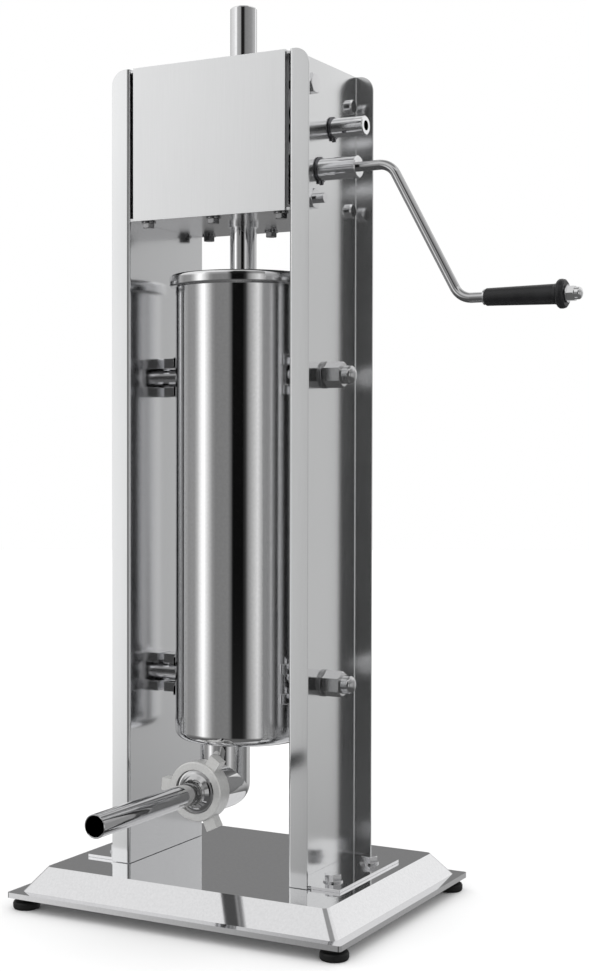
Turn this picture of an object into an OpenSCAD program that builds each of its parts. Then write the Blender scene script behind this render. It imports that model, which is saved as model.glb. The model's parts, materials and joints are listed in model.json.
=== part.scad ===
// Vertical hand-cranked sausage stuffer with a seven litre barrel and a two speed gearbox.
// Frame: millimetres, X to the operator's right, -Y to the front, Z up, feet standing on Z = 0,
// barrel and rack on the Z axis.

/* [Base] */
// Width of the base pan over its lip
base_w = 388; // [340:1:440]
// Depth of the base pan over its lip
base_d = 307; // [260:1:360]
// Height of the flat top of the base
base_h = 42; // [34:1:60]
// Height of the underside of the lip above the ground
lip_z = 12.5; // [8:0.5:20]
// Width of the flat lip round the base
lip_w = 9.2; // [6:0.2:14]
// Horizontal run of the sloping sides
slope_run = 20; // [12:0.5:30]
// Sheet thickness of the base pan
pan_t = 1.5; // [1:0.1:3]
// Diameter of the rubber feet
foot_d = 28.4; // [20:0.2:36]

/* [Columns] */
// Half of the clear distance between the two column webs
web_x = 95; // [92:0.5:110]
// Depth of the columns, front to rear
col_d = 147.4; // [130:0.2:160]
// Width of the column flanges
flange_w = 21.6; // [15:0.1:30]
// Height of the top of the columns
col_top = 874.5; // [820:0.5:900]
// Sheet thickness of the columns
col_t = 2; // [1.5:0.5:3]

/* [Barrel] */
// Inside diameter of the barrel
barrel_id = 140; // [120:1:150]
// Wall thickness of the barrel
barrel_t = 1.5; // [1:0.1:2.5]
// Height of the underside of the barrel
barrel_z = 173.7; // [150:0.1:200]
// Height of the barrel rim
rim_z = 661.2; // [600:0.2:680]
// Outside diameter of the barrel rim
rim_d = 155.4; // [148:0.2:162]
// Heights of the lower and upper carrying pins
pin_z_low = 237.5; // [210:0.5:280]
pin_z_high = 555.5; // [500:0.5:620]

/* [Gearbox] */
// Height of the underside of the gearbox
box_z = 716; // [700:0.5:730]
// Half width of the gearbox covers
cover_x = 90; // [85:0.5:91]
// Diameter of the round toothed rack
rack_d = 28; // [24:0.5:32]
// Height of the top of the rack when the piston is down
rack_top = 942.5; // [900:0.5:960]
// Distance the rack can be raised
rack_travel = 490; // [400:1:495]
// Gear module of the rack and its pinion
rack_m = 2; // [1.5:0.25:2.5]
// Gear module of the two speed gears
gear_m = 1.5; // [1:0.25:2]

/* [Crank] */
// Diameter of the crank rod
rod_d = 10; // [8:0.5:12]
// Vertical offset of the crank grip from the shaft
crank_drop = 136.9; // [110:0.1:180]
// Largest diameter of the tapered grip
grip_d = 20; // [16:0.5:26]
// Length of the tapered grip
grip_len = 74; // [60:1:100]

/* [Outlet] */
// Outside diameter of the outlet pipe
outlet_d = 52; // [44:1:60]
// Height of the horizontal outlet axis
outlet_z = 132; // [115:0.5:145]
// Distance of the vertical outlet pipe in front of the barrel axis
outlet_y = 36.5; // [30:0.5:42]
// Outside diameter of the stuffing tube
tube_d = 22.6; // [12:0.2:40]
// Distance from the barrel axis to the open end of the stuffing tube
tube_reach = 271; // [230:1:300]

/* [Hidden] */
$fn = 64;
eps = 0.01;
fit = 0.05;                                 // radial running fit of shafts and pins
web_o = web_x + col_t;                      // outer face of a column web
barrel_r = barrel_id/2 + barrel_t;
floor_z = barrel_z + 2;                     // inside floor of the barrel
plate_t = 3;
box_in = box_z + plate_t;                   // inside floor of the gearbox
box_top = col_top - pan_t - plate_t;        // underside of the top plate
gear_z = 764;                               // height of the pinion and fast shafts
rack_teeth_n = 13;                          // rack pinion
big_n = 49;                                 // large gear on the pinion shaft
slow_n = 14;                                // pinion of the slow shaft
fast_n = 23;                                // equal gears of the fast train
rack_pitch_y = 10;                          // pitch line of the rack
pinion_r = rack_m*rack_teeth_n/2;
pinion_y = rack_pitch_y + pinion_r;
fast_y = pinion_y - gear_m*fast_n;
slow_dist = gear_m*(big_n + slow_n)/2;
slow_y = 16.5;
slow_z = gear_z + sqrt(pow(slow_dist, 2) - pow(pinion_y - slow_y, 2));
slow_ang = atan2(slow_z - gear_z, slow_y - pinion_y);
slow_r = 10;                                // outside radius of the slow shaft sleeve
fast_r = 11.3;                              // outside radius of the fast shaft sleeve
slow_end = 135.5;
fast_end = 141.5;
bore_r = rod_d/2 + 0.08;
piston_z = floor_z + 3;                     // underside of the piston when down
piston_t = 22;
rack_foot = piston_z + piston_t + 11.5;     // shoulder of the rack above the lock nut
bend_x1 = 176.5;                            // crank corner on the shaft axis
bend_x2 = 252;                              // crank corner on the grip axis
bend_r = 20;
grip_x = 279;
grip_z = gear_z - crank_drop;
grip_end = grip_x + grip_len + 7.5;
outlet_end = -88.5;                         // front end of the threaded outlet
nut_front = -97;
nut_r = 30.3;
steel = [0.80, 0.81, 0.82];
brushed = [0.74, 0.75, 0.76];
dark = [0.10, 0.10, 0.11];

// ---- helpers ----

module at_x(x, y, z) { translate([x, y, z]) rotate([90, 0, 90]) children(); }
module mirror_pair() { children(); mirror([1, 0, 0]) children(); }

module hex_prism(af, h) { cylinder(d = af/cos(30), h = h, $fn = 6); }

module hex_head(af, h) {
    intersection() {
        hex_prism(af, h);
        cylinder(r1 = af/2 + h*1.6, r2 = af/2 - 0.2, h = h);
    }
}

module hex_bolt(af, head, d, len, washer_d, washer_t) {
    translate([0, 0, washer_t]) hex_head(af, head);
    cylinder(d = washer_d, h = washer_t);
    translate([0, 0, -len]) cylinder(d = d, h = len + eps);
}

module acorn(af, hex_h, dome_d, dome_h, bore, bore_h) {
    r = dome_d/2;
    side = dome_h - 0.62*r;
    difference() {
        union() {
            intersection() {
                hex_prism(af, hex_h);
                cylinder(r1 = af/2 + hex_h*1.6, r2 = af/2 + 0.2, h = hex_h);
            }
            translate([0, 0, hex_h - eps]) rotate_extrude() polygon(concat([[0, 0], [r, 0]],
                [for (a = [0:10:90]) [r*cos(a), side + 0.62*r*sin(a)]]));
        }
        translate([0, 0, -1]) cylinder(d = bore, h = bore_h + 1);
    }
}

module rrect(w, d, r, h) {
    linear_extrude(h) hull()
        for (x = [-1, 1], y = [-1, 1]) translate([x*(w/2 - r), y*(d/2 - r)]) circle(r);
}

// involute angle helper, degrees
function inv(a) = tan(a)*180/PI - a;
function acos_safe(c) = acos(min(1, max(-1, c)));
function half_ang(m, z, r, k) =
    let (rp = m*z/2, rb = rp*cos(20), rr = max(r, rb))
    90/z*k + inv(20) - inv(acos_safe(rb/rr));

module gear_2d(m, z, phase, k = 0.93) {
    rp = m*z/2;
    radii = [rp - 1.25*m, rp - 0.55*m, rp, rp + 0.45*m, rp + 0.85*m];
    n = len(radii);
    polygon([for (i = [0:z - 1], s = [0:2*n - 1])
        let (j = s < n ? s : 2*n - 1 - s, r = radii[j], h = half_ang(m, z, r, k),
             a = phase + 360/z*i + (s < n ? -h : h))
        [r*cos(a), r*sin(a)]]);
}

module gear(m, z, w, phase, bore) {
    linear_extrude(w) difference() {
        gear_2d(m, z, phase);
        circle(bore);
    }
}

// ---- base ----

module pan_block(grow, top) {
    run = slope_run + lip_w;
    hull() {
        translate([0, 0, top - base_h + lip_z + 4])
            rrect(base_w - 2*lip_w + grow, base_d - 2*lip_w + grow, 7, eps);
        translate([0, 0, top - eps]) rrect(base_w - 2*run + grow, base_d - 2*run + grow, 6, eps);
    }
}

module base_pan() {
    lip_top = lip_z + 5.5;
    color(steel) difference() {
        union() {
            pan_block(0, base_h);
            translate([0, 0, lip_top - pan_t]) rrect(base_w, base_d, 3, pan_t);
            translate([0, 0, lip_z]) rrect(base_w, base_d, 3, 5.5 - pan_t + eps);
        }
        pan_block(-2*pan_t, base_h - pan_t);
        translate([0, 0, lip_z - 1]) rrect(base_w - 2*pan_t, base_d - 2*pan_t, 1.5, 5 - pan_t + 1.5);
        for (x = [-1, 1], y = [-1, 1])
            translate([x*foot_bolt_x, y*foot_bolt_y, base_h - 5]) cylinder(d = 10.4, h = 10);
    }
}

foot_bolt_x = 129.5;
foot_bolt_y = 42;
foot_x = base_w/2 - 14;
foot_y = base_d/2 - 15.5;
gusset_z = lip_z + 5.5 - pan_t - 3;

module base_gussets() {
    color(brushed) for (x = [-1, 1], y = [-1, 1]) difference() {
        intersection() {
            translate([0, 0, gusset_z]) rrect(base_w - 2*pan_t - 0.4, base_d - 2*pan_t - 0.4, 1.8, 3);
            translate([x*(foot_x - 4), y*(foot_y - 4), gusset_z + 1.5]) cube([44, 44, 10], center = true);
        }
        translate([x*foot_x, y*foot_y, 0]) cylinder(d = 5, h = 60);
    }
}

module base_stiffeners() {
    color(brushed) mirror_pair() difference() {
        translate([101, -96, base_h - pan_t - 3]) cube([56, 192, 3]);
        for (y = [-1, 1]) translate([foot_bolt_x, y*foot_bolt_y, 0]) cylinder(d = 10.4, h = 60);
    }
}

module rubber_feet() {
    color(dark) for (x = [-1, 1], y = [-1, 1]) translate([x*foot_x, y*foot_y, 0]) difference() {
        rotate_extrude() polygon([[0, 0], [foot_d/2 - 2.2, 0], [foot_d/2 - 0.7, 0.8], [foot_d/2, 2.4],
            [foot_d/2, 6.2], [foot_d/2 - 0.8, 7.8], [foot_d/2 - 2.4, 8.6], [foot_d/2 - 3.8, 9],
            [foot_d/2 - 3.8, lip_z - 0.5], [9, lip_z - 0.5], [9, gusset_z], [0, gusset_z]]);
        translate([0, 0, -1]) cylinder(d = 12, h = 6);
        cylinder(d = 5, h = 30);
    }
}

module foot_screws() {
    color(steel) for (x = [-1, 1], y = [-1, 1]) translate([x*foot_x, y*foot_y, 2]) {
        difference() {
            cylinder(d = 9.5, h = 3);
            translate([0, 0, -1]) cylinder(d = 4, h = 2.6, $fn = 6);
        }
        cylinder(d = 5, h = gusset_z + 3 - 2);
    }
}

// ---- columns ----

module u_profile() {
    r = 3;
    h = col_d/2;
    difference() {
        union() {
            translate([web_x + r, -h]) square([flange_w - r, 2*h]);
            translate([web_x, -h + r]) square([r + eps, 2*h - 2*r]);
            for (y = [-1, 1]) translate([web_x + r, y*(h - r)]) circle(r);
        }
        translate([web_o + 1, -h + col_t]) square([flange_w, 2*h - 2*col_t]);
        translate([web_o, -h + col_t + 1]) square([1 + eps, 2*h - 2*col_t - 2]);
        for (y = [-1, 1]) translate([web_o + 1, y*(h - col_t - 1)]) circle(1);
    }
}

module corner_cut(r) {
    translate([web_x + flange_w - r, 0, col_top - r]) rotate([90, 0, 0]) difference() {
        translate([0, 0, -100]) cube([r + 1, r + 1, 200]);
        cylinder(r = r, h = 202, center = true);
    }
}

module web_holes() {
    for (b = web_bolts) at_x(web_x - 5, b[0], b[1]) cylinder(d = b[2] + 0.4, h = 12);
    for (z = [pin_z_low, pin_z_high]) at_x(web_x - 1, 0, z) cylinder(d = 12.2, h = 6);
}

module column_blank() {
    color(brushed) difference() {
        translate([0, 0, base_h + 0.5]) linear_extrude(col_top - base_h - 0.5) u_profile();
        corner_cut(16);
        web_holes();
    }
}

// gearbox fixings through the webs: position along Y, height, thread
web_bolts = [[-38, 846.5, 12, 0], [-38, 731, 12, 10.5], [56, 840, 8, 0], [56, 730.5, 8, 0]];

module column_left() { mirror([1, 0, 0]) column_blank(); }

module column_right() {
    color(brushed) difference() {
        column_blank();
        at_x(web_x - 5, slow_y, slow_z) cylinder(r = slow_r + 4, h = 12);
        at_x(web_x - 5, fast_y, gear_z) cylinder(r = fast_r + 4, h = 12);
    }
}

module foot_plates() {
    color(steel) mirror_pair() difference() {
        translate([web_o, -69, base_h]) cube([54, 138, 3]);
        for (y = [-1, 1]) translate([foot_bolt_x, y*foot_bolt_y, 0]) cylinder(d = 10.4, h = 60);
    }
}

module foot_bolts() {
    color(steel) for (x = [-1, 1], y = [-1, 1])
        translate([x*foot_bolt_x, y*foot_bolt_y, base_h + 3]) hex_bolt(16, 6.4, 10, 15.5, 20, 1.6);
}

module foot_nuts() {
    color(steel) for (x = [-1, 1], y = [-1, 1])
        translate([x*foot_bolt_x, y*foot_bolt_y, base_h - pan_t - 3 - 8]) difference() {
            union() {
                hex_prism(16, 6.4 + eps);
                translate([0, 0, 6.4]) cylinder(d = 20, h = 1.6);
            }
            translate([0, 0, -1]) cylinder(d = 10, h = 12);
        }
}

// ---- gearbox shell ----

module side_plates() {
    color(brushed) mirror_pair() difference() {
        translate([web_x - plate_t, -60, box_in]) cube([plate_t, 120, box_top - box_in]);
        for (b = web_bolts) at_x(web_x - 5, b[0], b[1]) cylinder(d = b[2] + 0.4, h = 12);
        at_x(web_x - 5, slow_y, slow_z) cylinder(r = slow_r + 4, h = 12);
        at_x(web_x - 5, fast_y, gear_z) cylinder(r = fast_r + 4, h = 12);
        at_x(web_x - 5, pinion_y, gear_z) cylinder(r = 9 + fit, h = 12);
    }
}

cover_bolt_y = 60.5;

module bottom_plate() {
    color(brushed) difference() {
        translate([-web_x + 0.2, -71.8, box_z]) cube([2*web_x - 0.4, 143.6, plate_t]);
        translate([0, 0, box_z - 1]) cylinder(r = rack_d/2 + 2, h = 8);
        for (x = [-79, 0, 79], y = [-1, 1])
            translate([x, y*cover_bolt_y, box_z - 1]) cylinder(d = 6.4, h = 8);
    }
}

module top_plate() {
    color(brushed) difference() {
        translate([-web_x + 0.2, -71.8, box_top]) cube([2*web_x - 0.4, 143.6, plate_t]);
        translate([0, 0, box_top - 1]) cylinder(r = rack_d/2 + 3, h = 8);
    }
}

module cover_blank() {
    y0 = -col_d/2;
    h = col_top - box_z;
    color(brushed) difference() {
        translate([-cover_x, y0, box_z]) cube([2*cover_x, 26, h]);
        translate([-cover_x + pan_t, y0 + pan_t, box_z - 1]) cube([2*cover_x - 2*pan_t, 40, plate_t + 1]);
        translate([-cover_x + pan_t, y0 + pan_t, box_in + pan_t])
            cube([2*cover_x - 2*pan_t, 40, h - plate_t - 2*pan_t]);
        translate([-cover_x - 1, y0 + 8, box_in + pan_t]) cube([2*cover_x + 2, 40, h - plate_t - 2*pan_t]);
        translate([-cover_x - 1, -71.8, box_z - 1]) cube([2*cover_x + 2, 40, plate_t + 1]);
        translate([-cover_x - 1, -71.8, box_top]) cube([2*cover_x + 2, 40, plate_t]);
        translate([0, 0, col_top - 2]) cylinder(r = 52, h = 4);
        for (x = [-79, 0, 79]) translate([x, -cover_bolt_y, box_in - 1]) cylinder(d = 6.4, h = 6);
    }
}

module front_cover() { cover_blank(); }
module rear_cover() { mirror([0, 1, 0]) cover_blank(); }

module cover_bolts() {
    color(steel) for (x = [-79, 0, 79], y = [-1, 1]) translate([x, y*cover_bolt_y, box_z])
        mirror([0, 0, 1]) hex_bolt(11.5, 5, 6, 9, 15.5, 1.6);
}

module cover_nuts() {
    color(steel) for (x = [-79, 0, 79], y = [-1, 1]) translate([x, y*cover_bolt_y, box_in + pan_t])
        difference() {
            hex_prism(10, 4);
            translate([0, 0, -1]) cylinder(d = 6, h = 8);
        }
}

module gearbox_bolts() {
    color(steel) mirror_pair() for (b = web_bolts) at_x(web_o, b[0], b[1])
        if (b[2] > 10) {
            hex_bolt(19, 7.5, b[2], 19, 22, 2);
            if (b[3] > 0) translate([0, 0, 9]) cylinder(d = b[2] - 2, h = b[3] + 0.5);
        }
        else {
            cylinder(d = 15.5, h = 3.5);
            translate([0, 0, 3.5]) cylinder(d1 = 15.5, d2 = 12.5, h = 1.5);
            translate([0, 0, -16]) cylinder(d = b[2], h = 17);
        }
}

module gearbox_nuts() {
    color(steel) mirror_pair() for (b = web_bolts) at_x(web_x - plate_t, b[0], b[1]) mirror([0, 0, 1])
        difference() {
            hex_prism(b[2] > 10 ? 18 : 13, b[2] > 10 ? 9 : 6.5);
            translate([0, 0, -1]) cylinder(d = b[2], h = 20);
        }
}

// ---- bearings and guides ----

module bearing_plate(x, slow_hole, fast_hole) {
    difference() {
        translate([x, -64, box_in]) cube([4, 128, box_top - box_in]);
        for (y = [-66, 46]) translate([x - 1, y, box_in - 1]) cube([6, 20, 8]);
        at_x(x - 1, pinion_y, gear_z) cylinder(r = 9 + fit, h = 6);
        if (slow_hole > 0) at_x(x - 1, slow_y, slow_z) cylinder(r = slow_hole + fit, h = 6);
        if (fast_hole > 0) at_x(x - 1, fast_y, gear_z) cylinder(r = fast_hole + fit, h = 6);
    }
}

module bearing_plates() {
    color(brushed) {
        bearing_plate(-33, 0, 0);
        bearing_plate(25, 8, 0);
        bearing_plate(52, slow_r, 8);
    }
}

module flange_bush(r_in, r_out, r_flange, len, flange_at, flange_t) {
    difference() {
        union() {
            cylinder(r = r_out, h = len);
            translate([0, 0, flange_at]) cylinder(r = r_flange, h = flange_t);
        }
        translate([0, 0, -1]) cylinder(r = r_in, h = len + 2);
    }
}

module rack_bush_lower() {
    color(steel) translate([0, 0, box_z - 4])
        flange_bush(rack_d/2 + fit, rack_d/2 + 2, 23, 22, 7, 4);
}

module rack_bush_upper() {
    color(steel) translate([0, 0, box_top - 10])
        flange_bush(rack_d/2 + fit, rack_d/2 + 3, 23, 14, 6, 4);
}

module shaft_bushes() {
    color(steel) {
        at_x(84, slow_y, slow_z) flange_bush(slow_r + fit, slow_r + 4, slow_r + 7, web_o - 84, 5, 3);
        at_x(84, fast_y, gear_z) flange_bush(fast_r + fit, fast_r + 4, fast_r + 7, web_o - 84, 5, 3);
    }
}

// ---- rack and piston ----

module rack_rod() {
    r = rack_d/2;
    pitch = PI*rack_m;
    n_up = floor((rack_top - 8 - gear_z)/pitch);
    n_down = floor((gear_z - rack_foot - 36)/pitch);
    tip = rack_pitch_y + 0.85*rack_m;
    root = rack_pitch_y - 1.25*rack_m;
    tip_h = pitch/4*0.93 - 0.85*rack_m*tan(20);
    root_h = pitch/4*0.93 + 1.25*rack_m*tan(20);
    z_low = gear_z - (n_down + 0.5)*pitch;
    color(steel) {
        difference() {
            translate([0, 0, rack_foot]) {
                cylinder(r = r, h = rack_top - rack_foot - 1.5);
                translate([0, 0, rack_top - rack_foot - 1.5]) cylinder(r1 = r, r2 = r - 1.5, h = 1.5);
            }
            translate([-r - 1, 0, 0]) rotate([90, 0, 90]) linear_extrude(2*r + 2) difference() {
                translate([root, z_low - pitch/2]) square([20, (n_up + n_down + 1)*pitch + pitch/2]);
                for (i = [-n_down:n_up]) translate([0, gear_z + (i - 0.5)*pitch])
                    polygon([[root - 1, -root_h - 0.36],
                        [tip, -tip_h], [tip, tip_h], [root - 1, root_h + 0.36]]);
            }
        }
        translate([0, 0, piston_z + 8]) cylinder(d = 16, h = rack_foot - piston_z - 8 + eps);
    }
}

module piston_disc() {
    r = barrel_id/2 - 0.7;
    t = piston_t;
    color(steel) translate([0, 0, piston_z]) difference() {
        rotate_extrude($fn = 96) polygon(concat(
            [[0, 0]], [for (a = [-90:15:0]) [r - 10 + 10*cos(a), 10 + 10*sin(a)]],
            [[r, 11.5], [r - 4, 11.5], [r - 4, 18.5], [r, 18.5], [r, t - 1], [r - 1, t], [0, t]]));
        translate([0, 0, 8]) cylinder(d = 16, h = 20);
        translate([0, 38, -1]) cylinder(r = 3 + fit, h = 30);
        translate([0, 38, -1]) cylinder(r = 5.5, h = 5);
    }
}

module piston_seal() {
    r = barrel_id/2;
    color([0.86, 0.86, 0.82]) translate([0, 0, piston_z]) rotate_extrude($fn = 96)
        polygon([[r - 4.7, 11.5], [r - 0.8, 11.5], [r - fit, 13],
            [r - fit, 17], [r - 0.8, 18.5], [r - 4.7, 18.5]]);
}

module piston_nut() {
    color(steel) translate([0, 0, piston_z + piston_t]) difference() {
        union() {
            cylinder(d = 30, h = 2 + eps);
            translate([0, 0, 2]) hex_head(24, 9.3);
        }
        translate([0, 0, -1]) cylinder(d = 16, h = 20);
    }
}

module air_valve() {
    color(steel) translate([0, 38, piston_z]) {
        translate([0, 0, 1]) cylinder(r1 = 4.5, r2 = 5, h = 2.6);
        translate([0, 0, 1]) cylinder(r = 3, h = piston_t + 5);
        translate([0, 0, piston_t + 4.6]) cylinder(r = 5.5, h = 3);
    }
}

// ---- shafts ----

module pinion_shaft() {
    color(steel) at_x(0, pinion_y, gear_z) {
        translate([0, 0, -33]) cylinder(r = 9, h = 127);
        translate([0, 0, -13]) linear_extrude(26) gear_2d(rack_m, rack_teeth_n, 180);
    }
}

module big_gear() {
    color([0.62, 0.63, 0.65]) at_x(36, pinion_y, gear_z) difference() {
        union() {
            gear(gear_m, big_n, 10, slow_ang, 9);
            translate([0, 0, -4]) difference() {
                cylinder(r = 15, h = 18);
                translate([0, 0, -1]) cylinder(r = 9, h = 20);
            }
        }
        for (a = [0:60:300]) rotate(a) translate([23.5, 0, -1]) cylinder(d = 10, h = 12);
    }
}

module fast_gear_driven() {
    color([0.62, 0.63, 0.65]) at_x(62, pinion_y, gear_z) gear(gear_m, fast_n, 12, 180, 9);
}

module slow_shaft() {
    color(steel) at_x(0, slow_y, slow_z) difference() {
        union() {
            translate([0, 0, 25]) cylinder(r = 8, h = 26);
            translate([0, 0, 35]) linear_extrude(12) gear_2d(gear_m, slow_n, slow_ang - 180 + 180/slow_n);
            translate([0, 0, 50.5]) cylinder(r = slow_r, h = slow_end - 51.5);
            translate([0, 0, slow_end - 1 - eps]) cylinder(r1 = slow_r, r2 = slow_r - 1, h = 1 + eps);
        }
        translate([0, 0, slow_end - 44]) cylinder(r = bore_r, h = 60);
    }
}

module fast_shaft() {
    color(steel) at_x(0, fast_y, gear_z) difference() {
        union() {
            translate([0, 0, 51]) cylinder(r = 8, h = 8);
            translate([0, 0, 58]) cylinder(r = fast_r, h = fast_end - 59);
            translate([0, 0, fast_end - 1 - eps]) cylinder(r1 = fast_r, r2 = fast_r - 1, h = 1 + eps);
        }
        translate([0, 0, fast_end - 44]) cylinder(r = bore_r, h = 60);
    }
}

module fast_gear_driver() {
    color([0.62, 0.63, 0.65]) at_x(62, fast_y, gear_z) gear(gear_m, fast_n, 12, 180/fast_n, fast_r);
}

module circlip(r) {
    color(dark) difference() {
        union() {
            cylinder(r = r + 1.9, h = 1.3);
            for (s = [-1, 1]) rotate(-90 + s*15)
                translate([r + 2.2, 0, 0]) cylinder(r = 1.8, h = 1.3, $fn = 24);
        }
        translate([0, 0, -1]) cylinder(r = r, h = 4);
        rotate(-90) translate([0, -1.8, -1]) cube([r + 9, 3.6, 4]);
        for (s = [-1, 1]) rotate(-90 + s*15) translate([r + 2.4, 0, -1]) cylinder(r = 0.7, h = 4, $fn = 24);
    }
}

module slow_circlip() { at_x(web_o + 0.4, slow_y, slow_z) circlip(slow_r); }
module fast_circlip() { at_x(web_o + 0.4, fast_y, gear_z) circlip(fast_r); }

// ---- crank ----

module elbow_bend(rc, r, from, to) {
    a = from - 2;
    b = to + 2;
    intersection() {
        rotate_extrude() translate([rc, 0]) circle(r);
        linear_extrude(4*r, center = true) polygon([[0, 0], [3*rc*cos(a), 3*rc*sin(a)],
            [3*rc*cos((a + b)/2), 3*rc*sin((a + b)/2)], [3*rc*cos(b), 3*rc*sin(b)]]);
    }
}

module crank_rod() {
    dx = bend_x2 - bend_x1;
    ang = atan2(crank_drop, dx);
    tan_len = bend_r*tan(ang/2);
    arm = sqrt(dx*dx + crank_drop*crank_drop) - 2*tan_len;
    r = rod_d/2;
    rb = r - 0.06;
    x0 = fast_end - 42;
    color(steel) translate([0, fast_y, gear_z]) {
        translate([x0 + 1, 0, 0]) rotate([0, 90, 0]) cylinder(r = r, h = bend_x1 - tan_len - x0);
        translate([x0, 0, 0]) rotate([0, 90, 0]) cylinder(r1 = r - 1, r2 = r, h = 1 + eps);
        translate([bend_x1 - tan_len, 0, -bend_r]) rotate([90, 0, 0]) elbow_bend(bend_r, rb, 90 - ang, 90);
        translate([bend_x1 + tan_len*cos(ang), 0, -tan_len*sin(ang)]) rotate([0, 90 + ang, 0])
            translate([0, 0, -1]) cylinder(r = r, h = arm + 2);
        translate([bend_x2 + tan_len, 0, -crank_drop + bend_r]) rotate([90, 0, 0])
            elbow_bend(bend_r, rb, 270 - ang, 270);
        translate([bend_x2 + tan_len - 1, 0, -crank_drop]) rotate([0, 90, 0])
            cylinder(r = r, h = grip_end + 9 - bend_x2 - tan_len);
    }
}

module grip_washer() {
    color(steel) for (x = [grip_x - 1.8, grip_end + 0.3]) at_x(x, fast_y, grip_z) difference() {
        cylinder(r = x < grip_x ? 7.6 : 8.6, h = 1.5);
        translate([0, 0, -1]) cylinder(r = rod_d/2, h = 4);
    }
}

module grip_nut() {
    color(steel) at_x(grip_end + 1.8, fast_y, grip_z) acorn(13.6, 7, 12, 7, rod_d, 6.2);
}

module crank_grip() {
    r2 = grip_d/2;
    r1 = r2 - 1.4;
    l = grip_len;
    color(dark) at_x(grip_x, fast_y, grip_z) rotate_extrude() polygon([
        [rod_d/2 + 0.08, 0], [r1 - 1, 0], [r1, 1.2], [r2 - 0.2, l - 4], [r2 + 0.6, l - 1.5], [r2 + 3, l],
        [r2 + 4, l + 1.2], [r2 + 4.2, l + 3.5], [r2 + 3.6, l + 6.2],
            [r2 + 2, l + 7.5], [rod_d/2 + 0.08, l + 7.5]]);
}

// ---- barrel ----

module barrel_shell() {
    color(steel) translate([0, 0, barrel_z + 10]) difference() {
        cylinder(r = barrel_r, h = rim_z - barrel_z - 10, $fn = 128);
        translate([0, 0, -1]) cylinder(d = barrel_id, h = rim_z - barrel_z, $fn = 128);
    }
}

module barrel_floor() {
    ro = barrel_r;
    ri = barrel_id/2;
    color(steel) difference() {
        translate([0, 0, barrel_z]) rotate_extrude($fn = 128) difference() {
            intersection() {
                union() {
                    square([ro - 10, 10]);
                    translate([ro - 10, 10]) circle(10);
                }
                square([ro, 10]);
            }
            translate([0, 2]) square([ri - 8, 12]);
            translate([ri - 8, 10]) circle(8);
        }
        translate([0, -outlet_y, barrel_z - 1]) cylinder(d = outlet_d - 3, h = 4);
    }
}

module barrel_rim() {
    r = barrel_r;
    w = rim_d/2 - r;
    color(steel) translate([0, 0, rim_z - 12.5]) rotate_extrude($fn = 128) {
        translate([r, 4]) square([w - 4, 8.5]);
        translate([r, 3]) square([w, 6.5]);
        translate([r, 0]) square([w - 3, 12.5]);
        translate([r + w - 3, 3]) circle(3);
        translate([r + w - 3, 9.5]) circle(3);
    }
}

module barrel_brackets() {
    color(steel) mirror_pair() for (z = [pin_z_low, pin_z_high]) difference() {
        union() {
            translate([60, -13, z - 20.7]) cube([31.3, 26, 41.4]);
            intersection() {
                translate([0, 0, z - 20.7]) cylinder(r = barrel_r + 2.5, h = 41.4, $fn = 128);
                translate([66, -40, z - 20.7]) cube([10, 80, 41.4]);
            }
        }
        translate([0, 0, z - 30]) cylinder(r = barrel_r, h = 60, $fn = 128);
        translate([75, -14, z - 10]) cube([20, 24.5, 20]);
        for (y = [-41, 13]) translate([60, y, z - 10]) cube([20, 28, 20]);
    }
}

module pin_bolts() {
    color(steel) mirror_pair() for (z = [pin_z_low, pin_z_high]) at_x(0, 0, z) {
        translate([0, 0, 77]) cylinder(r = 9.6, h = web_x - 77);
        translate([0, 0, web_x - 1]) cylinder(r = 6, h = 24);
    }
}

module pin_washers() {
    color(steel) mirror_pair() for (z = [pin_z_low, pin_z_high]) at_x(web_o, 0, z) difference() {
        cylinder(r = 14, h = 2.5);
        translate([0, 0, -1]) cylinder(r = 6, h = 5);
    }
}

module pin_nuts() {
    color(steel) mirror_pair() for (z = [pin_z_low, pin_z_high]) at_x(web_o + 2.5, 0, z)
        rotate(30) acorn(23.5, 20, 19, 13.2, 12, 20.6);
}

// ---- outlet ----

module outlet_elbow() {
    r = outlet_d/2;
    ri = r - 1.5;
    color(steel) difference() {
        union() {
            translate([0, -outlet_y, outlet_z]) cylinder(r = r, h = barrel_z - outlet_z);
            translate([0, -outlet_y, outlet_z]) sphere(r);
            translate([0, outlet_end, outlet_z]) rotate([-90, 0, 0])
                cylinder(r = r, h = -outlet_y - outlet_end);
            translate([0, outlet_end, outlet_z]) rotate([-90, 0, 0]) cylinder(r = r + 0.7, h = 14);
        }
        translate([0, -outlet_y, outlet_z]) cylinder(r = ri, h = 80);
        translate([0, -outlet_y, outlet_z]) sphere(ri);
        translate([0, outlet_end - 1, outlet_z]) rotate([-90, 0, 0])
            cylinder(r = ri, h = -outlet_y - outlet_end + 1);
    }
}

module ring_nut() {
    color([0.70, 0.70, 0.69]) translate([0, nut_front, outlet_z]) rotate([-90, 0, 0]) difference() {
        union() {
            cylinder(r1 = nut_r - 1.2, r2 = nut_r, h = 1.2 + eps);
            translate([0, 0, 1.2]) cylinder(r = nut_r, h = 17.3);
            for (a = [-174, -57, 63]) rotate(a) translate([nut_r - 2, -6.5, 3]) cube([13, 13, 12]);
        }
        translate([0, 0, -1]) cylinder(r = 22.5, h = 30);
        translate([0, 0, 3]) cylinder(r = outlet_d/2 + 1, h = 30);
    }
}

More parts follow.
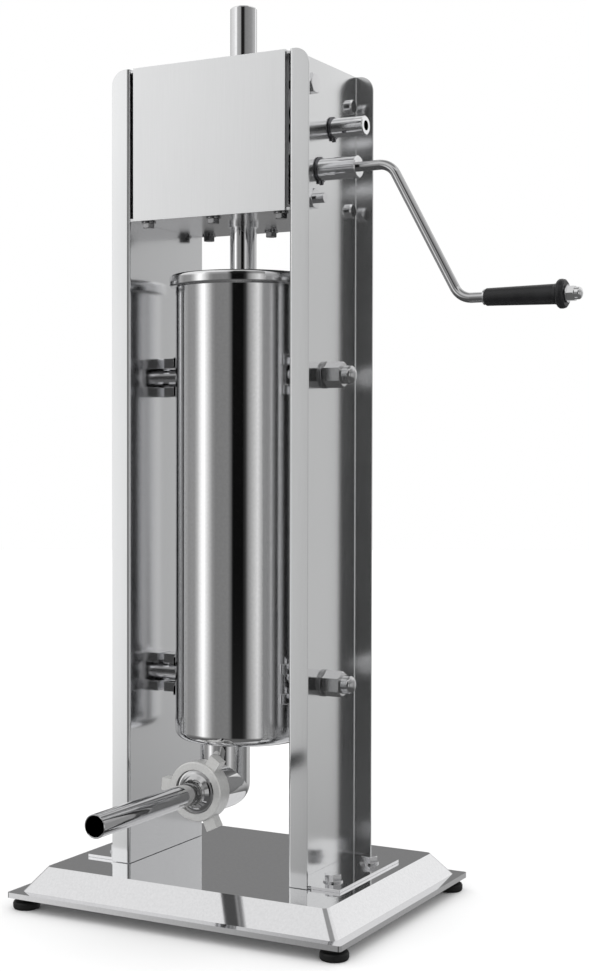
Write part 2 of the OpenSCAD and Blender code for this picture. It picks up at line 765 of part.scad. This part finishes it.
module stuffing_tube() {
    r = tube_d/2;
    l = tube_reach + nut_front + 3.3;
    flare = 21.5 - r;                       // radius of the flare in front of the flange
    color(steel) translate([0, -tube_reach, outlet_z]) rotate([-90, 0, 0]) rotate_extrude() polygon(concat(
        [[r - 1.2, 0.4], [r - 0.6, 0], [r, 0.6]],
        [for (a = [0:10:90]) [r + flare*(1 - cos(a)), l - 1 - flare*(1 - sin(a))]],
        [[22, l], [25.8, l], [25.8, l + 3], [20.3, l + 3], [20.3, l + 1], [r - 1.2, l - 8]]));
}

module tube_gasket() {
    color([0.90, 0.90, 0.88]) translate([0, nut_front + 6.5, outlet_z]) rotate([-90, 0, 0]) difference() {
        cylinder(r = 25.8, h = 1.8);
        translate([0, 0, -1]) cylinder(r = 21, h = 4);
    }
}

base_pan();
base_gussets();
base_stiffeners();
rubber_feet();
foot_screws();
column_left();
column_right();
foot_plates();
foot_bolts();
foot_nuts();
side_plates();
bottom_plate();
top_plate();
front_cover();
rear_cover();
cover_bolts();
cover_nuts();
gearbox_bolts();
gearbox_nuts();
bearing_plates();
rack_bush_lower();
rack_bush_upper();
shaft_bushes();
rack_rod();
piston_disc();
piston_seal();
piston_nut();
air_valve();
pinion_shaft();
big_gear();
fast_gear_driven();
slow_shaft();
slow_circlip();
fast_shaft();
fast_gear_driver();
fast_circlip();
crank_rod();
grip_washer();
grip_nut();
crank_grip();
barrel_shell();
barrel_floor();
barrel_rim();
barrel_brackets();
pin_bolts();
pin_washers();
pin_nuts();
outlet_elbow();
ring_nut();
stuffing_tube();
tube_gasket();
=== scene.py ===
import json
import math

import bmesh
import bpy
from mathutils import Matrix, Vector

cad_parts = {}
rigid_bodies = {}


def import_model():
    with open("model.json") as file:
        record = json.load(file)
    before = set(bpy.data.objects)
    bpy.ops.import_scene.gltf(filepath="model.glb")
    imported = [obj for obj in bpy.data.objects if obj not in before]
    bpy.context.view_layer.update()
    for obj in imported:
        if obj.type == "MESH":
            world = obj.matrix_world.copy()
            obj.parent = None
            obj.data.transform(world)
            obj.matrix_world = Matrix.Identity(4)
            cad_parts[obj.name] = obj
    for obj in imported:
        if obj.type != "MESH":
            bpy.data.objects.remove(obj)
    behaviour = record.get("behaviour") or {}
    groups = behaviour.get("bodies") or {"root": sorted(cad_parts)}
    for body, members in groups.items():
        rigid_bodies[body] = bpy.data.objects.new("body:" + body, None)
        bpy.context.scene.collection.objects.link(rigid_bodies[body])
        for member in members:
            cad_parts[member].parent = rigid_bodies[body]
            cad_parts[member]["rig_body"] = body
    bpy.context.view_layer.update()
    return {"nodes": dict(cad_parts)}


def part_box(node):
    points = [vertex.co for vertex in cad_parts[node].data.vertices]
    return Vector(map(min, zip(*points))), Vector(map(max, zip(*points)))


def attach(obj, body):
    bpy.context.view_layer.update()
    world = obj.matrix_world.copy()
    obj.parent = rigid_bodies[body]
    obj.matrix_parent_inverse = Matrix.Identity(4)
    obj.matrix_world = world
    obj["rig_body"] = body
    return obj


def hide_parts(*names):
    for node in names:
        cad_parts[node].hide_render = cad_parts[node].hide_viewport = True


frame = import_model()
nodes = frame["nodes"]
scene = bpy.context.scene


# ---- camera ----

CAMERA_AT = (0.87611, -1.50884, 0.48103)
AZIMUTH, PITCH, ROLL = math.radians(28.35), math.radians(1.33), math.radians(0.12)
LENS, SENSOR = 61.04, 36


def make_camera():
    forward = Vector((
        -math.sin(AZIMUTH) * math.cos(PITCH), math.cos(AZIMUTH) * math.cos(PITCH), -math.sin(PITCH)))
    level_right = Vector((math.cos(AZIMUTH), math.sin(AZIMUTH), 0))
    level_up = level_right.cross(forward)
    right = level_right * math.cos(ROLL) + level_up * math.sin(ROLL)
    up = level_up * math.cos(ROLL) - level_right * math.sin(ROLL)
    data = bpy.data.cameras.new("camera")
    data.sensor_width = SENSOR
    data.lens = LENS
    data.clip_start, data.clip_end = 0.05, 60
    cam = bpy.data.objects.new("camera", data)
    scene.collection.objects.link(cam)
    cam.matrix_world = Matrix.Translation(CAMERA_AT) @ Matrix((right, up, -forward)).transposed().to_4x4()
    scene.camera = cam


make_camera()
scene.view_settings.view_transform = "Standard"


# ---- node helpers ----

class Tree:
    """A small builder for a node tree. A node given as an input stands for its first output."""

    def __init__(self, tree):
        self.tree = tree
        tree.nodes.clear()

    def add(self, kind, inputs=None, **props):
        node = self.tree.nodes.new("ShaderNode" + kind)
        for key, value in props.items():
            setattr(node, key, value)
        for key, value in (inputs or {}).items():
            self.put(node, key, value)
        return node

    def put(self, node, key, value):
        socket = node.inputs[key]
        if isinstance(value, bpy.types.Node):
            value = value.outputs[0]
        if isinstance(value, bpy.types.NodeSocket):
            self.tree.links.new(value, socket)
        else:
            socket.default_value = value

    def scaled(self, value, by, plus=0.0):
        return self.add("Math", {0: value, 1: by, 2: plus}, operation="MULTIPLY_ADD")

    def ramp(self, value, stops):
        node = self.add("ValToRGB", {"Fac": value})
        elements = node.color_ramp.elements
        while len(elements) < len(stops):
            elements.new(0.5)
        for element, (place, colour) in zip(elements, stops):
            element.position = place
            element.color = (*colour, 1)
        return node


def new_material(name):
    mat = bpy.data.materials.new(name)
    mat.use_nodes = True
    return mat, Tree(mat.node_tree)


# ---- studio ----

MIRROR_LIGHT = 1.35
ROOM_LIGHT = 1.38


def make_world():
    """The studio seen in the steel: rows of greys at three heights, dim below them and plain above."""
    world = bpy.data.worlds.new("studio")
    scene.world = world
    world.use_nodes = True
    tree = Tree(world.node_tree)
    way = tree.add("SeparateXYZ", {0: tree.add("TexCoord").outputs["Generated"]})
    back = tree.scaled(way.outputs["Y"], -1.0)
    turn = tree.add("Math", {0: way.outputs["X"], 1: back}, operation="ARCTAN2")
    share = tree.scaled(turn, 0.5 / math.pi, 0.5)
    height = way.outputs["Z"]

    def row(stops):
        """Greys round the horizon, each (degrees from the front towards the right, brightness)."""
        return tree.ramp(share, [(angle / 360 + 0.5, (grey,) * 3) for angle, grey in stops]).outputs[0]

    def blend(low, high, start, end):
        """The low colour up to the height start, the high one from end."""
        part = tree.add("MapRange", {0: height, 1: start, 2: end}, interpolation_type="SMOOTHSTEP")
        return tree.add("Mix", {0: part, 6: low, 7: high}, data_type="RGBA").outputs[2]

    # The level stops from -94 to 82 are the photograph's brightness, read about every 3 pixels across the
    # barrel and turned into reflection angles. The others were set to match greys read off the photograph.
    level = row([
        (-180, 0.45), (-162, 0.40), (-152, 0.17), (-132, 0.17), (-112, 0.36), (-94, 0.36), (-84, 0.30),
        (-75, 0.21), (-60, 0.23), (-53.3, 0.38), (-46.7, 0.72), (-40.4, 1.0), (-34.4, 0.66), (-28.5, 0.41),
        (-22.8, 0.22), (-17, 0.16), (5, 0.165), (9.5, 0.10), (13, 0.003), (29.5, 0.003), (34.6, 0.032),
        (39.7, 0.21), (55, 0.573), (62, 0.33), (76.6, 0.165), (82, 0.40), (120, 0.34), (143, 0.27),
        (149, 0.36), (153, 0.44), (160, 0.42), (180, 0.45)])
    raised = row([
        (-180, 0.45), (-168, 0.34), (-161, 0.17), (-135, 0.17), (-110, 0.50), (-60, 0.60), (-36, 0.82),
        (-32.5, 0.68), (-29, 0.47), (-22, 0.32), (5, 0.26), (11, 0.01), (33, 0.01), (45, 0.16), (100, 0.22),
        (130, 0.34), (149, 0.38), (154.5, 0.70), (165, 0.70), (180, 0.45)])
    dome = row([
        (-180, 0.60), (-120, 0.62), (-60, 0.66), (0, 0.60), (9, 0.35), (14, 0.05), (32, 0.05), (42, 0.26),
        (110, 0.32), (140, 0.65), (180, 0.60)])
    studio = blend((0.09, 0.09, 0.09, 1), level, -0.46, -0.10)
    studio = blend(studio, raised, 0.13, 0.20)
    studio = blend(studio, dome, 0.33, 0.41)
    studio = blend(studio, (0.62, 0.62, 0.62, 1), 0.66, 0.80)
    studio = blend(studio, (0.24, 0.24, 0.24, 1), 0.84, 0.93)
    glossy = tree.add("Background", {"Color": studio, "Strength": MIRROR_LIGHT})
    diffuse = tree.add("Background", {"Color": (1, 1, 1, 1), "Strength": ROOM_LIGHT})
    seen = tree.add("Background", {"Color": (1, 1, 1, 1), "Strength": 1.0})
    path = tree.add("LightPath")
    lit = tree.add("MixShader", {0: path.outputs["Is Glossy Ray"], 1: diffuse, 2: glossy})
    mixed = tree.add("MixShader", {0: path.outputs["Is Camera Ray"], 1: lit, 2: seen})
    tree.add("OutputWorld", {"Surface": mixed})


def make_floor():
    """A white floor that takes the shadow and stays out of the reflections."""
    mesh = bpy.data.meshes.new("floor")
    bm = bmesh.new()
    bmesh.ops.create_circle(bm, cap_ends=True, segments=96, radius=6.0)
    bm.to_mesh(mesh)
    bm.free()
    floor = bpy.data.objects.new("floor", mesh)
    scene.collection.objects.link(floor)
    mat, tree = new_material("floor_white")
    shader = tree.add("BsdfPrincipled", {"Base Color": (0.85, 0.85, 0.85, 1), "Roughness": 0.7})
    shader.inputs["Specular IOR Level"].default_value = 0.0
    tree.add("OutputMaterial", {"Surface": shader})
    mesh.materials.append(mat)
    floor.visible_glossy = False


make_world()
make_floor()


# ---- materials ----

def metal(name, colour, rough, grain=None, streak=0.0, aniso=0.0, blotch=0.02, wave=0.0, scratch=0.000003,
          tone=0.05, metallic=1.0):
    """Steel, brushed along the axis grain. streak and blotch vary its roughness, tone its colour."""
    mat, tree = new_material(name)
    where = tree.add("TexCoord").outputs["Object"]
    cloud = tree.add("TexNoise", {"Vector": where, "Scale": 14.0, "Detail": 3.0, "Roughness": 0.55})
    if grain:
        stretch = {"X": (1, 60, 60), "Z": (60, 60, 1)}[grain]
        moved = tree.add("Mapping", {"Vector": where, "Scale": stretch})
        marks = tree.add("TexNoise", {"Vector": moved, "Scale": 22.0, "Detail": 6.0, "Roughness": 0.7})
    else:
        marks = tree.add("TexNoise", {"Vector": where, "Scale": 350.0, "Detail": 4.0, "Roughness": 0.7})
    base = tree.scaled(cloud, 2 * blotch, rough - blotch - streak / 2)
    roughness = tree.scaled(marks, streak, base)
    low = tuple(c * (1 - tone) for c in colour)
    high = tuple(min(1.0, c * (1 + 0.6 * tone)) for c in colour)
    paint = tree.ramp(marks, [(0.3, low), (0.7, high)])
    shader = tree.add("BsdfPrincipled", {"Base Color": paint, "Metallic": metallic, "Roughness": roughness})
    if aniso:
        shader.inputs["Anisotropic"].default_value = aniso
        tree.put(shader, "Tangent", tree.add("Tangent", direction_type="RADIAL", axis="Z"))
    skin = tree.add("Bump", {"Height": marks, "Strength": 0.5, "Distance": scratch})
    if wave:
        swell = tree.add("TexNoise", {"Vector": where, "Scale": 9.0, "Detail": 1.0})
        tree.put(skin, "Normal", tree.add("Bump", {"Height": swell, "Strength": 1.0, "Distance": wave}))
    tree.put(shader, "Normal", skin)
    tree.add("OutputMaterial", {"Surface": shader})
    return mat


def moulded(name, colour, rough, gloss=0.3):
    """Rubber or moulded plastic with a fine stippled skin."""
    mat, tree = new_material(name)
    where = tree.add("TexCoord").outputs["Object"]
    cloud = tree.add("TexNoise", {"Vector": where, "Scale": 60.0, "Detail": 4.0})
    low = tuple(c * 0.75 for c in colour)
    high = tuple(min(1.0, c * 1.35) for c in colour)
    paint = tree.ramp(cloud, [(0.3, low), (0.7, high)])
    roughness = tree.scaled(cloud, 0.16, rough - 0.08)
    skin = tree.add("TexNoise", {"Vector": where, "Scale": 900.0, "Detail": 2.0})
    bump = tree.add("Bump", {"Height": skin, "Strength": 0.5, "Distance": 0.00006})
    shader = tree.add("BsdfPrincipled", {"Base Color": paint, "Roughness": roughness, "Normal": bump})
    shader.inputs["Specular IOR Level"].default_value = gloss
    tree.add("OutputMaterial", {"Surface": shader})
    return mat


mirror = metal("mirror_steel", (0.86, 0.86, 0.865), 0.035, blotch=0.012, wave=0.00002)
sheet = metal("polished_sheet", (0.84, 0.84, 0.85), 0.05, blotch=0.015, wave=0.00003)
chrome = metal("chrome", (0.88, 0.88, 0.89), 0.03, blotch=0.01, scratch=0.000002)
turned = metal("turned_steel", (0.80, 0.80, 0.805), 0.12, "X", 0.05, blotch=0.02, scratch=0.000006)
satin = metal("satin_web", (0.86, 0.865, 0.87), 0.18, "Z", 0.06, 0.3, scratch=0.000005, tone=0.03)
flange = metal("satin_flange", (0.84, 0.845, 0.85), 0.13, "Z", 0.04, 0.3, scratch=0.000004, tone=0.03)
inner = metal(
    "polished_web", (0.88, 0.885, 0.895), 0.14, "Z", 0.03, blotch=0.015, scratch=0.000002, tone=0.02)
channel = metal("satin_channel", (0.82, 0.825, 0.83), 0.20, "Z", 0.06, 0.3, scratch=0.000005, tone=0.03)
panel = metal("brushed_panel", (0.91, 0.915, 0.92), 0.30, "Z", 0.06, 0.3, scratch=0.000006, tone=0.03)
plate = metal("brushed_plate", (0.72, 0.72, 0.73), 0.20, "X", 0.08, scratch=0.000008)
cast = metal("cast_steel", (0.66, 0.66, 0.65), 0.36, blotch=0.05, scratch=0.00003, tone=0.08, metallic=0.6)
drawn = metal("drawn_steel", (0.60, 0.60, 0.605), 0.05, blotch=0.015)
rod = metal("rod_steel", (0.58, 0.58, 0.585), 0.05, blotch=0.015)
# Darker fastener steel: its low colour is painted shade, standing in for the shadow crescents and dark
# reflections on the pin washers and cover bolts.
shade_darkened_steel = metal("painted_shade_steel", (0.36, 0.36, 0.365), 0.16, blotch=0.03, scratch=0.000006)
bolt = metal("bolt_steel", (0.80, 0.80, 0.81), 0.10, blotch=0.03, scratch=0.000006)
gear = metal("gear_steel", (0.50, 0.50, 0.50), 0.28, blotch=0.05, scratch=0.00001)
spring = metal("spring_steel", (0.16, 0.16, 0.17), 0.30, blotch=0.05, scratch=0.00001)
rubber = moulded("black_rubber", (0.007, 0.007, 0.007), 0.50)
plastic = moulded("black_plastic", (0.008, 0.008, 0.009), 0.34, gloss=0.42)
silicone = moulded("white_silicone", (0.75, 0.75, 0.73), 0.45, gloss=0.5)

FINISH = {
    mirror: "barrel_floor piston_disc outlet_elbow grip_nut air_valve piston_nut",
    chrome: "rack_rod pin_bolts",
    drawn: "stuffing_tube",
    rod: "crank_rod",
    turned: "rack_bush_lower rack_bush_upper shaft_bushes",
    sheet: "base_gussets base_stiffeners",
    satin: "side_plates",
    plate: "bearing_plates",
    bolt: "foot_nuts cover_nuts gearbox_nuts foot_screws grip_washer",
    gear: "pinion_shaft big_gear fast_gear_driven fast_gear_driver",
    spring: "slow_circlip fast_circlip",
    rubber: "rubber_feet",
    plastic: "crank_grip",
    silicone: "piston_seal tube_gasket",
}
for finish, names in FINISH.items():
    for name in names.split():
        mesh = nodes[name].data
        mesh.materials.clear()
        mesh.materials.append(finish)


# ---- finished pieces ----

FLAT = math.radians(0.5)
SHARP = math.radians(32)
CREASE = math.radians(40)


def own(piece, body, slot, *replaced):
    scene.collection.objects.link(piece)
    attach(piece, body)
    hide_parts(*replaced)


def broken_edges(node, slot, width, finishes, steps=2, angle=SHARP, pick=None):
    """The node's shape with small rounds along its edges. pick gives each face the number of its finish."""
    mesh = nodes[node].data.copy()
    bm = bmesh.new()
    bm.from_mesh(mesh)
    bmesh.ops.remove_doubles(bm, verts=bm.verts, dist=1e-6)
    bmesh.ops.dissolve_limit(bm, angle_limit=FLAT, verts=bm.verts, edges=bm.edges)
    sharp = [edge for edge in bm.edges if len(edge.link_faces) == 2 and edge.calc_face_angle(0) > angle]
    bmesh.ops.bevel(bm, geom=sharp, offset=width, offset_type="OFFSET", segments=steps, profile=0.5,
                    affect="EDGES", clamp_overlap=True)
    bm.normal_update()
    for face in bm.faces:
        face.smooth = True
        face.material_index = pick(face.normal, face.calc_center_median()) if pick else 0
    mesh.materials.clear()
    for finish in finishes:
        mesh.materials.append(finish)
    bm.to_mesh(mesh)
    bm.free()
    piece = bpy.data.objects.new(node + "_finished", mesh)
    own(piece, nodes[node]["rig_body"], slot, node)
    weighted = piece.modifiers.new("normals", "WEIGHTED_NORMAL")
    weighted.keep_sharp = True


def lathe(name, body, slot, profile, finish, steps, *replaced):
    """A closed profile of (radius, height) turned round the Z axis."""
    mesh = bpy.data.meshes.new(name)
    bm = bmesh.new()
    turns = [2 * math.pi * i / steps for i in range(steps)]
    rings = [[bm.verts.new((r * math.cos(a), r * math.sin(a), z)) for a in turns] for r, z in profile]
    for low, high in zip(rings, rings[1:] + rings[:1]):
        for i in range(steps):
            j = (i + 1) % steps
            bm.faces.new((low[i], high[i], high[j], low[j])).smooth = True
    bmesh.ops.recalc_face_normals(bm, faces=bm.faces)
    bm.to_mesh(mesh)
    bm.free()
    mesh.set_sharp_from_angle(angle=CREASE)
    mesh.materials.append(finish)
    piece = bpy.data.objects.new(name, mesh)
    own(piece, body, slot, *replaced)


def rounded(points, radius, steps=6):
    """The closed line through points, each (x, y, share of radius), with its corners rounded."""
    line = []
    for k, (x, y, share) in enumerate(points):
        corner = Vector((x, y))
        before = Vector(points[k - 1][:2]) - corner
        after = Vector(points[(k + 1) % len(points)][:2]) - corner
        size = min(radius * share, 0.45 * before.length, 0.45 * after.length)
        start = corner + before.normalized() * size
        end = corner + after.normalized() * size
        for i in range(steps + 1):
            f = i / steps
            line.append(tuple(start * (1 - f) ** 2 + corner * 2 * f * (1 - f) + end * f ** 2))
    return line


BARREL_WALL = 0.0015
BARREL_STEPS = 256
RIM_ROUND = 0.0045
COLUMN_SHEET = 0.002
FINE_EDGE = 0.0004
SMALL_EDGE = 0.0005
FOLD_EDGE = 0.0006
SOFT_EDGE = 0.0008
WIDE_EDGE = 0.0012


def barrel():
    low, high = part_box("barrel_shell")
    rim_low, rim_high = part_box("barrel_rim")
    r, rim = high.x, rim_high.x
    bore = r - BARREL_WALL
    profile = rounded([
        (bore, low.z, 0), (bore, rim_high.z, 0.3), (rim, rim_high.z, 1), (rim, rim_low.z, 0.8),
        (r, rim_low.z, 0.25), (r, low.z, 0)], RIM_ROUND)
    lathe(
        "barrel_body", "frame", "polished_stainless", profile, mirror, BARREL_STEPS,
        "barrel_shell", "barrel_rim")


def column_faces(side):
    """Picks a face's finish: 0 outer web, 1 outside of a flange, 2 left column's inner web, 3 the rest."""
    low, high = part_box("column_right")
    web_middle, flange_middle = low.x + COLUMN_SHEET / 2, high.y - COLUMN_SHEET / 2

    def pick(normal, centre):
        if abs(normal.x) < 0.7 or abs(abs(centre.x) - web_middle) > 1.5 * COLUMN_SHEET:
            return 1 if abs(centre.y) > flange_middle else 3
        if normal.x * side > 0:
            return 0
        return 2 if side < 0 else 3
    return pick


barrel()
COLUMN_FINISHES = (satin, flange, inner, channel)
for name, side in (("column_left", -1), ("column_right", 1)):
    broken_edges(name, "brushed_stainless", FINE_EDGE, COLUMN_FINISHES, pick=column_faces(side))
broken_edges("base_pan", "polished_stainless", FOLD_EDGE, (sheet,), steps=3)
for name in ("front_cover", "rear_cover"):
    broken_edges(name, "brushed_stainless", SMALL_EDGE, (panel,))
for name in ("top_plate", "bottom_plate"):
    broken_edges(name, "brushed_stainless", SMALL_EDGE, (plate,))
broken_edges("foot_plates", "fastener_stainless", WIDE_EDGE, (sheet,), steps=3)
broken_edges("barrel_brackets", "brushed_stainless", FOLD_EDGE, (sheet,))
broken_edges("ring_nut", "cast_stainless", SOFT_EDGE, (cast,), steps=3)
for name in ("fast_shaft", "slow_shaft"):
    broken_edges(name, "polished_stainless", SMALL_EDGE, (chrome,))
for name in ("foot_bolts", "gearbox_bolts"):
    broken_edges(name, "fastener_stainless", FINE_EDGE, (bolt,))
# The cover bolts and pin washers take the darkened steel, so painted shade is in their colour.
for name in ("cover_bolts", "pin_washers"):
    broken_edges(name, "fastener_stainless", FINE_EDGE, (shade_darkened_steel,))
broken_edges("pin_nuts", "polished_stainless", SOFT_EDGE, (drawn,), steps=3, angle=math.radians(25))
